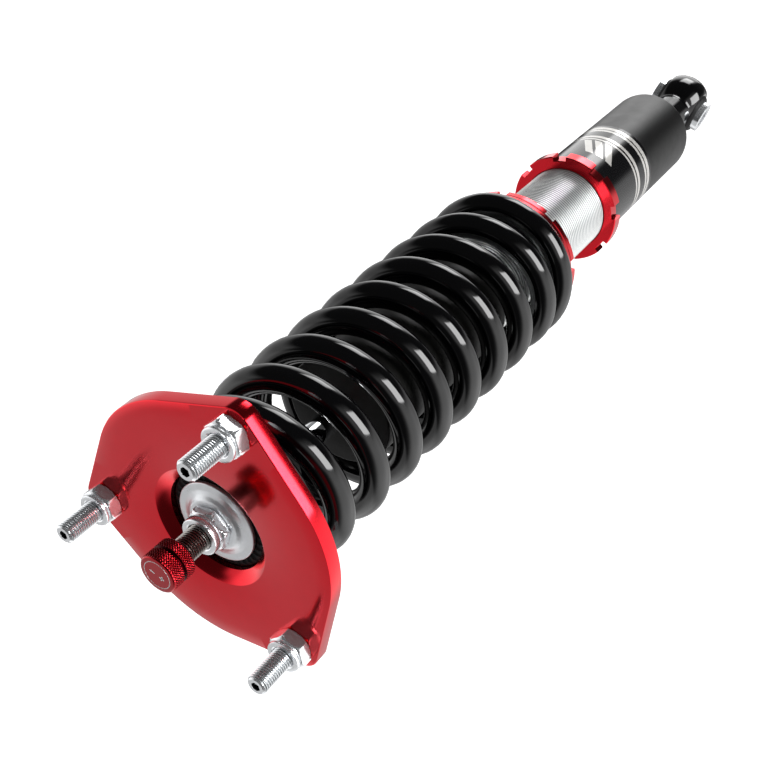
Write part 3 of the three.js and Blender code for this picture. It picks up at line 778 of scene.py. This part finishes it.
# Sleeve: the bracket's body, turned from tube and finished in satin black. It screws on to the
# damper's thread, and turning it sets the ride height.
SLEEVE_R = 28.9
SLEEVE_TOP = -351.8
SLEEVE_BOTTOM = -480.6
SLEEVE_BORE_R = 26.8
SLEEVE_FLOOR = -466
satin_black = surface("satin_black_coat", "#060606", 0, 0.42, 0.5, 0.15, mottle=0.08, Specular_IOR_Level=0.33)
finished("lower_sleeve_turned", revolved([
    (0, SLEEVE_FLOOR), (SLEEVE_BORE_R, SLEEVE_FLOOR), (SLEEVE_BORE_R, SLEEVE_TOP - 0.4),
    (SLEEVE_BORE_R + 0.4, SLEEVE_TOP), (SLEEVE_R - 0.5, SLEEVE_TOP), (SLEEVE_R, SLEEVE_TOP - 0.5),
    (SLEEVE_R, SLEEVE_BOTTOM + 3.4), (SLEEVE_R - 0.2, SLEEVE_BOTTOM + 2.1),
    (SLEEVE_R - 0.8, SLEEVE_BOTTOM + 1.1), (SLEEVE_R - 1.8, SLEEVE_BOTTOM + 0.4),
    (SLEEVE_R - 3.3, SLEEVE_BOTTOM), (0, SLEEVE_BOTTOM),
], even(160)), satin_black, "lower_bracket", ["lower_sleeve"])

# Label: a gloss black film wrapped round the sleeve under the collar, printed with silver
# lines and a generic row of slanted bars.
LABEL_TOP = -352.6
LABEL_BOTTOM = -414
LABEL_LINES = ((-394.4, 1.5), (-390.3, 0.9), (-405.2, 1.2), (-409.3, 1.7))
BARS_AZIMUTH = 98
BARS_SLANT = 0.5
BARS_SPACING = 7.2
BAR_HALF_WIDTH = 2.5
BAR_HALF_HEIGHT = 9
BARS_Z = -379
FILM_T = 0.12


def strip(tree, value, middle, half):
    """One where a length is within half a width of the middle, both in mm, and zero elsewhere."""
    off = add(tree, "ShaderNodeMath", {0: value, 1: middle * MM}, operation="SUBTRACT").outputs[0]
    size = add(tree, "ShaderNodeMath", {0: off}, operation="ABSOLUTE").outputs[0]
    return add(tree, "ShaderNodeMath", {0: size, 1: half * MM}, operation="LESS_THAN").outputs[0]


def either(tree, one, other):
    """One where any of the two is one."""
    return add(tree, "ShaderNodeMath", {0: one, 1: other}, operation="MAXIMUM").outputs[0]


def label_finish():
    """The label's black film, with its silver lines round it and its bars on one side."""
    material = surface("label_film", "#08080A", 0, 0.14, 2.0, 0.03)
    tree = material.node_tree
    shader = tree.nodes["Principled BSDF"]
    place = add(tree, "ShaderNodeTexCoord").outputs["Object"]
    part = add(tree, "ShaderNodeSeparateXYZ", {"Vector": place}).outputs
    turn = add(tree, "ShaderNodeMath", {0: part["Y"], 1: part["X"]}, operation="ARCTAN2").outputs[0]
    around = add(tree, "ShaderNodeMath", {0: turn, 1: SLEEVE_R * MM}, operation="MULTIPLY").outputs[0]
    slant = add(tree, "ShaderNodeMath", {0: part["Z"], 1: BARS_SLANT}, operation="MULTIPLY").outputs[0]
    across_bars = add(tree, "ShaderNodeMath", {0: around, 1: slant}, operation="ADD").outputs[0]
    middle = radians(BARS_AZIMUTH) * SLEEVE_R + BARS_SLANT * BARS_Z
    bars = strip(tree, across_bars, middle, BAR_HALF_WIDTH)
    for side in (-1, 1):
        bars = either(tree, bars, strip(tree, across_bars, middle + side * BARS_SPACING, BAR_HALF_WIDTH))
    height = strip(tree, part["Z"], BARS_Z, BAR_HALF_HEIGHT)
    marks = add(tree, "ShaderNodeMath", {0: bars, 1: height}, operation="MULTIPLY").outputs[0]
    for line in LABEL_LINES:
        marks = either(tree, marks, strip(tree, part["Z"], *line))
    for socket, plain, printed in (("Base Color", "#08080A", "#C6C4C0"), ("Metallic", "#000000", "#8F8F8F")):
        ink = add(tree, "ShaderNodeMix", {"Factor": marks, "A": srgb(plain), "B": srgb(printed)},
                  data_type="RGBA")
        tree.links.new(ink.outputs["Result"], shader.inputs[socket])
    return material


finished("sleeve_label", revolved([
    (SLEEVE_R - 0.05, LABEL_BOTTOM), (SLEEVE_R + FILM_T, LABEL_BOTTOM), (SLEEVE_R + FILM_T, LABEL_TOP),
    (SLEEVE_R - 0.05, LABEL_TOP),
], even(160), closed=True), label_finish(), "lower_bracket", [])


# Lower eye: a steel forging of a neck and a barrel in one, coated gloss black. The barrel's
# ends are machined flat, and the neck flares where it is screwed into the sleeve.
EYE_Z = -540
EYE_R = 21.5
EYE_HALF = 13
EYE_BORE_R = 14.2
BARREL_END_R = 9
BARREL_STEPS = 16
NECK_R = 13.5
FORGING_VOXEL = 0.7
SMOOTHING_ROUNDS = 14
SLAB_WIDTH = 60
SLAB_HEIGHT = 90


def applied(piece):
    """Replaces the object's mesh with what its modifiers make of it."""
    graph = bpy.context.evaluated_depsgraph_get()
    mesh = bpy.data.meshes.new_from_object(piece.evaluated_get(graph))
    piece.modifiers.clear()
    piece.data = mesh


def scratch(name, made):
    """A plain object of a bmesh, to be cut, joined or stood in the room."""
    mesh = bpy.data.meshes.new(name)
    bmesh.ops.remove_doubles(made, verts=made.verts, dist=1e-6)
    bmesh.ops.recalc_face_normals(made, faces=made.faces)
    made.to_mesh(mesh)
    made.free()
    piece = bpy.data.objects.new(name, mesh)
    scene.collection.objects.link(piece)
    return piece


def across(made):
    """Turns a bmesh made about Z so that its axis is X, at the eye's height."""
    for vert in made.verts:
        vert.co = Vector((vert.co.z, vert.co.y, vert.co.x + EYE_Z * MM))
    return made


barrel_outline = [(0, -EYE_HALF - 3)]
for k in range(BARREL_STEPS + 1):
    a = pi * (k / BARREL_STEPS - 0.5) * 0.86
    barrel_outline.append((BARREL_END_R + (EYE_R - BARREL_END_R) * cos(a), (EYE_HALF + 3.2) * sin(a)))
barrel_outline.append((0, EYE_HALF + 3))
forging = scratch("forging", across(revolved(barrel_outline, even(96))))
neck = scratch("neck", revolved([
    (0, EYE_Z + 6), (NECK_R, EYE_Z + 6), (NECK_R, SLEEVE_BOTTOM - 14),
    (NECK_R + 0.7, SLEEVE_BOTTOM - 9), (NECK_R + 2.7, SLEEVE_BOTTOM - 4),
    (NECK_R + 6, SLEEVE_BOTTOM - 0.2), (0, SLEEVE_BOTTOM - 0.2),
], even(96)))


def boolean(piece, tool, operation):
    """Joins or cuts the object with another, which is used up."""
    cutter = piece.modifiers.new("cut", "BOOLEAN")
    cutter.operation = operation
    cutter.object = tool
    cutter.solver = "EXACT"
    applied(piece)
    bpy.data.objects.remove(tool)


boolean(forging, neck, "UNION")
blend = forging.modifiers.new("blend", "REMESH")
blend.mode = "VOXEL"
blend.voxel_size = FORGING_VOXEL * MM
smoothing = forging.modifiers.new("smoothing", "SMOOTH")
smoothing.factor = 0.5
smoothing.iterations = SMOOTHING_ROUNDS
applied(forging)
slab = bmesh.new()
bmesh.ops.create_cube(slab, size=1)
bmesh.ops.scale(slab, verts=slab.verts, vec=Vector((2 * EYE_HALF, SLAB_WIDTH, SLAB_HEIGHT)) * MM)
bmesh.ops.translate(slab, verts=slab.verts, vec=Vector((0, 0, SLEEVE_BOTTOM - 0.3 - SLAB_HEIGHT / 2)) * MM)
boolean(forging, scratch("slab", slab), "INTERSECT")
bore = scratch("bore", across(revolved([(0, -20), (EYE_BORE_R, -20), (EYE_BORE_R, 20), (0, 20)], even(96))))
boolean(forging, bore, "DIFFERENCE")
eye_mesh = bmesh.new()
eye_mesh.from_mesh(forging.data)
bpy.data.objects.remove(forging)
finished("lower_eye_forged", eye_mesh, gloss_black, "lower_bracket", ["lower_eye"], sharp=40)

# Eye bush: black rubber bonded to a zinc-plated steel sleeve, which the arm's bolt clamps. The
# rubber bulges past the eye's machined faces, and twists when the arm swings.
EYE_BUSH_R = 14.15
EYE_BUSH_HALF = 15.6
EYE_SLEEVE_R = 10.7
EYE_SLEEVE_BORE_R = 6.2
EYE_SLEEVE_HALF = 20
finished("eye_bush_moulded", across(revolved(eased([
    (EYE_SLEEVE_R - 0.1, -EYE_BUSH_HALF), (12.4, -EYE_BUSH_HALF), (EYE_BUSH_R, 2.4 - EYE_BUSH_HALF),
    (EYE_BUSH_R, EYE_BUSH_HALF - 2.4), (12.4, EYE_BUSH_HALF), (EYE_SLEEVE_R - 0.1, EYE_BUSH_HALF),
], 1.0, 4, closed=True), even(96), closed=True)), bush_rubber, "lower_bracket", ["eye_bush"])
finished("eye_sleeve_turned", across(revolved(eased([
    (EYE_SLEEVE_BORE_R, -EYE_SLEEVE_HALF), (EYE_SLEEVE_R, -EYE_SLEEVE_HALF),
    (EYE_SLEEVE_R, EYE_SLEEVE_HALF), (EYE_SLEEVE_BORE_R, EYE_SLEEVE_HALF),
], 0.5, 3, closed=True), even(96), closed=True)), zinc_plate, "eye_inner", ["eye_sleeve"])


# Inner pieces: the valving, guides, seals, sleeve and needle that the other pieces hide. They
# keep their plain turned shapes, in phosphated and zinc-plated steel, rubber and bronze-filled band.
inner_finishes = {
    "dark_steel": surface("phosphated_steel", "#4A4A4C", 1, 0.35, 0.4, 0.2),
    "zinc_steel": zinc_plate,
    "black_rubber": bush_rubber,
    "bronze_band": surface("bronze_filled_band", "#9A7A45", 0.2, 0.45, 0.5, 0.2),
}
slot_of = {entry["node"]: entry["material_slot"] for entry in frame["record"]["subparts"]}
for name, node in frame["nodes"].items():
    if not node.hide_render:
        for place in node.material_slots:
            place.material = inner_finishes[slot_of[name]]


# Floor: a plain white sheet well below the hanging part. It glows a little, so that it stays as
# white as the room, and the part doesn't reflect it.
FLOOR_RADIUS = 30
FLOOR_Z = -0.75
floor_mesh = bmesh.new()
bmesh.ops.create_circle(floor_mesh, cap_ends=True, radius=FLOOR_RADIUS, segments=64)
floor = scratch("floor", floor_mesh)
floor.location.z = FLOOR_Z
floor_paint = bpy.data.materials.new("pale_floor")
floor_paint.use_nodes = True
floor_shader = floor_paint.node_tree.nodes["Principled BSDF"]
floor_shader.inputs["Base Color"].default_value = srgb("#FFFFFF")
floor_shader.inputs["Roughness"].default_value = 0.9
floor_shader.inputs["Emission Color"].default_value = srgb("#FFFFFF")
floor_shader.inputs["Emission Strength"].default_value = 0.9
floor.data.materials.append(floor_paint)
floor.visible_glossy = False
